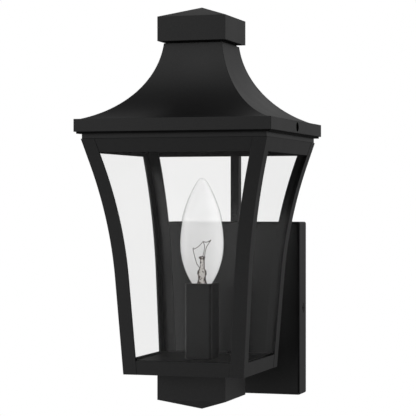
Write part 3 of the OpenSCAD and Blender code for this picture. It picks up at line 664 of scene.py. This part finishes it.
def make_bulb_base():
    """The lamp's brass shell: a rolled helical thread under a plain collar."""
    low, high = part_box("bulb_base")
    crest_r = (high.x - low.x) / 2
    foot, top = low.z, high.z

    def shell_r(z, share):
        """The shell's radius at height z, a share of a full turn round."""
        up = (z - foot) / (top - COLLAR_H - foot)
        if up >= 1:
            return crest_r
        wave = 0.5 + 0.5 * math.cos(TAU * (z / BASE_PITCH - share))
        fade = min(1, 6 * up, 10 * (1 - up))
        return crest_r - THREAD_DEPTH * (1 - fade * wave)

    heights = [foot + (top - foot) * i / BASE_LEVELS for i in range(BASE_LEVELS + 1)]
    mesh = bmesh.new()
    rings = []
    for inset, levels in ((0, heights), (BASE_WALL, heights[::-1])):
        for z in levels:
            ring = []
            for k in range(BASE_SIDES):
                r = shell_r(z, k / BASE_SIDES) - inset
                ring.append(mesh.verts.new(axis + around(r, TAU * k / BASE_SIDES, z)))
            rings.append(ring)
    for first, second in zip(rings, rings[1:] + rings[:1]):
        bridge(mesh, first, second, BASE_SIDES)
    new_piece("bulb_screw_shell", mesh, "bulb", "brass", "bulb_base")


make_bulb_base()

# ------------------------------------------------------------------ leads and connectors

LEAD_R = 1.0 * MM
STRAND_R = 0.42 * MM
STRAND_SHIFT = 0.4 * MM
STRAND_PITCH = 7 * MM
STRANDS = 3
# places in the lead's route, in millimetres: the socket's terminal and the sleeve's corner, both
# from the lantern's axis, and how far out the connectors hang
TERMINAL = (4.6, 4.4)
LEAD_CORNER = 6.8
CONNECTOR_X = 21


def lead_points(side):
    """The route of the line or the neutral lead, as the CAD model has it: side is 1 or -1."""
    out = axis.y / MM
    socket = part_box("lamp_socket")[0].z / MM
    floor_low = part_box("base_pan")[0].z / MM
    floor_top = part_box("candle_sleeve")[0].z / MM
    stem = centre("lower_stem").z / MM
    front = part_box("wall_canopy")[0].y / MM
    points = [
        (TERMINAL[0], out + TERMINAL[1], socket + 1),
        (5.4, out + 5.2, socket - 3),
        (LEAD_CORNER, out + LEAD_CORNER, socket - 9),
        (LEAD_CORNER, out + LEAD_CORNER, floor_top + 4),
        (LEAD_CORNER, out + LEAD_CORNER, floor_low + 0.4),
        (5.6, out + 9.6, stem + 0.6),
        (2.6, out + 19, stem),
        (1.2, out + 31, stem),
        (1.2, out + 50, stem),
        (1.2, out + 68, stem),
        (1.4, front + 4, stem),
        (4, front + 9.5, stem - 1.5),
        (12, front + 10.5, stem - 3),
        (19, front + 10.5, stem + 2),
        (CONNECTOR_X, front + 10.5, stem + 9),
        (CONNECTOR_X, front + 10.5, stem + 14),
    ]
    return [Vector((side * x, y, z)) * MM for x, y, z in points]


def make_leads():
    """The two insulated leads from the socket to the connectors."""
    for side, node, slot_name in ((1, "lead_line", "lead_black"), (-1, "lead_neutral", "lead_white")):
        mesh = bmesh.new()
        tube(mesh, smooth_route(lead_points(side), 8), LEAD_R, 16)
        new_piece(node + "_insulated", mesh, "fixture", slot_name, node)


def make_ground_lead():
    """The bare ground lead from its screw to the canopy's lug, twisted from strands."""
    x = centre("ground_screw").x / MM
    points = [
        (x + 4.7, -3.3, 0),
        (x + 7.6, -3.7, 1.5),
        (x + 9.5, -5.5, 7),
        (x + 9, -9, 13),
        (x + 5.5, -13, 17),
        (x + 1, -16, 19.5),
        (x - 2.6, -17.4, 20.6),
    ]
    core = smooth_route([Vector(p) * MM for p in points], 24)
    mesh = bmesh.new()
    for strand in range(STRANDS):
        tube(mesh, twisted(core, STRAND_SHIFT, STRAND_PITCH, strand / STRANDS), STRAND_R, 10)
    new_piece("lead_ground_stranded", mesh, "fixture", "copper", "lead_ground")


def twisted(core, radius, pitch, phase):
    """A route that winds about another one, radius away from it, once in each pitch."""
    across = ANY_WAY
    travelled = 0
    route = []
    for i, point in enumerate(core):
        before, after = core[max(i - 1, 0)], core[min(i + 1, len(core) - 1)]
        ahead = (after - before).normalized()
        across = (across - across.dot(ahead) * ahead).normalized()
        travelled += (point - before).length
        turn = TAU * (travelled / pitch + phase)
        route.append(point + radius * (math.cos(turn) * across + math.sin(turn) * ahead.cross(across)))
    return route


SKIRT_R = 4.6 * MM
BORE_R = LEAD_R + 0.3 * MM
BORE_SHARE = 0.41
RIBS = 12
RIB_DEPTH = 0.09
CONNECTOR_SIDES = 96
# shares of the connector's height and of its skirt's radius
SKIRT = [(0, 0.94), (0.03, 1), (0.26, 1), (0.31, 0.9)]
GRIP = [(0.36, 0.86), (0.62, 0.72), (0.9, 0.57)]
TIP = [(0.96, 0.5), (1, 0.34)]


def connector_ring(mesh, foot, z, radius, rib_depth=0):
    """A ring of a connector, with ribs where rib_depth is a share of the radius."""
    ring = []
    for k in range(CONNECTOR_SIDES):
        turn = TAU * k / CONNECTOR_SIDES
        r = radius * (1 - rib_depth * (0.5 - 0.5 * math.cos(RIBS * turn)))
        ring.append(mesh.verts.new(foot + around(r, turn, z)))
    return ring


def make_connectors():
    """Twist-on connectors: a ribbed grip that tapers to a closed tip, over a short skirt."""
    low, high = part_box("wire_connectors")
    height = high.z - low.z
    mesh = bmesh.new()
    for side in (-1, 1):
        foot = Vector((side * CONNECTOR_X * MM, (low.y + high.y) / 2, low.z))
        outside = []
        for part, rib_depth in ((SKIRT, 0), (GRIP, RIB_DEPTH), (TIP, 0)):
            for up, share in part:
                outside.append(connector_ring(mesh, foot, up * height, SKIRT_R * share, rib_depth))
        tip = [mesh.verts.new(foot + Vector((0, 0, height)))]
        mouth = connector_ring(mesh, foot, 0, BORE_R)
        bottom = connector_ring(mesh, foot, BORE_SHARE * height, BORE_R)
        end = [mesh.verts.new(foot + Vector((0, 0, BORE_SHARE * height)))]
        rings = [end, bottom, mouth, *outside, tip]
        for first, second in zip(rings, rings[1:]):
            bridge(mesh, first, second, CONNECTOR_SIDES)
    new_piece("twist_on_connectors", mesh, "fixture", "connector_plastic", "wire_connectors")


make_leads()
make_ground_lead()
make_connectors()

# ------------------------------------------------------------------ studio

FLOOR_DROP = 0.45
FLOOR_REACH = 3
FLOOR_FADE = (0.1, 0.9)
FLOOR_COLOUR = (0.8, 0.8, 0.8, 1)
# what makes the floor paler where it is seen, without lighting the lantern from below
FLOOR_LIFT = 0.35


def make_floor():
    """A pale floor that fades out away from the lantern, where it meets the white studio."""
    mesh = bmesh.new()
    bmesh.ops.create_grid(mesh, x_segments=1, y_segments=1, size=FLOOR_REACH)
    data = bpy.data.meshes.new("floor")
    mesh.to_mesh(data)
    mesh.free()
    floor = bpy.data.objects.new("floor", data)
    bpy.context.scene.collection.objects.link(floor)
    floor.location = (axis.x, axis.y, cad_low.z - FLOOR_DROP)
    material, tree = start("pale_floor")
    place = add(tree, "TexCoord").outputs["Object"]
    reach = add(tree, "VectorMath", {0: place}, operation="LENGTH").outputs["Value"]
    fade = spread(tree, reach, 0, 1, *FLOOR_FADE)
    matt = add(tree, "BsdfDiffuse", {"Color": FLOOR_COLOUR}).outputs["BSDF"]
    seen = add(tree, "LightPath").outputs["Is Camera Ray"]
    lift = add(tree, "Emission", {"Strength": spread(tree, seen, 0, FLOOR_LIFT, 0, 1)}).outputs["Emission"]
    pale = add(tree, "AddShader", {0: matt, 1: lift}).outputs["Shader"]
    clear = add(tree, "BsdfTransparent").outputs["BSDF"]
    finish_material(tree, blend_shaders(tree, fade, pale, clear))
    data.materials.append(material)


def compass(azimuth, elevation):
    """A direction: azimuth 0 is in front of the lantern and 90 to its right, in degrees."""
    turn, lift = math.radians(azimuth), math.radians(elevation)
    return (math.sin(turn) * math.cos(lift), -math.cos(turn) * math.cos(lift), math.sin(lift))


AMBIENT = 0.004
GLOW_SHARPNESS = 6
# where each soft patch of light is, and its strength
GLOWS = (
    (compass(-40, 30), 1.14),
    (compass(-40, -25), 0.5),
    (compass(-60, 60), 0.06),
    (compass(120, -20), 0.62),
    (compass(165, 40), 0.55),
)


def glow(tree, direction, towards, strength):
    """A soft patch of light in the studio's walls."""
    facing = add(tree, "VectorMath", {0: direction, 1: towards}, operation="DOT_PRODUCT").outputs["Value"]
    front = add(tree, "Math", {0: facing, 1: 0.0}, operation="MAXIMUM").outputs[0]
    patch = add(tree, "Math", {0: front, 1: GLOW_SHARPNESS}, operation="POWER").outputs[0]
    return add(tree, "Math", {0: patch, 1: strength}, operation="MULTIPLY").outputs[0]


def make_world():
    """White where it is seen, and a dark studio with a few soft glows where it lights and is mirrored."""
    world = bpy.data.worlds.new("studio")
    bpy.context.scene.world = world
    world.use_nodes = True
    tree = world.node_tree
    tree.nodes.clear()
    direction = add(tree, "TexCoord").outputs["Generated"]
    level = AMBIENT
    for towards, strength in GLOWS:
        patch = glow(tree, direction, towards, strength)
        level = add(tree, "Math", {0: level, 1: patch}, operation="ADD").outputs[0]
    seen = add(tree, "LightPath").outputs["Is Camera Ray"]
    walls = add(tree, "Background", {"Color": WHITE, "Strength": level}).outputs["Background"]
    white = add(tree, "Background", {"Color": WHITE, "Strength": 1.0}).outputs["Background"]
    add(tree, "OutputWorld", {"Surface": blend_shaders(tree, seen, walls, white)})


def softbox(name, offset, size, watts):
    """A square area light at an offset from the lantern's middle, which it faces."""
    data = bpy.data.lights.new(name, "AREA")
    data.shape = "SQUARE"
    data.size = size
    data.energy = watts
    light = bpy.data.objects.new(name, data)
    bpy.context.scene.collection.objects.link(light)
    light.location = (cad_low + cad_high) / 2 + Vector(offset)
    light.rotation_euler = Vector(offset).to_track_quat("Z", "Y").to_euler()


def make_lights():
    """A big soft key from the left and a weak rim light from behind on the right."""
    softbox("key", (-2.1, -0.6, 0.0), 1.3, 14)
    softbox("rim", (1.5, 1.2, 0.4), 1.2, 2)


make_floor()
make_world()
make_lights()
bpy.context.scene.view_settings.view_transform = "Standard"
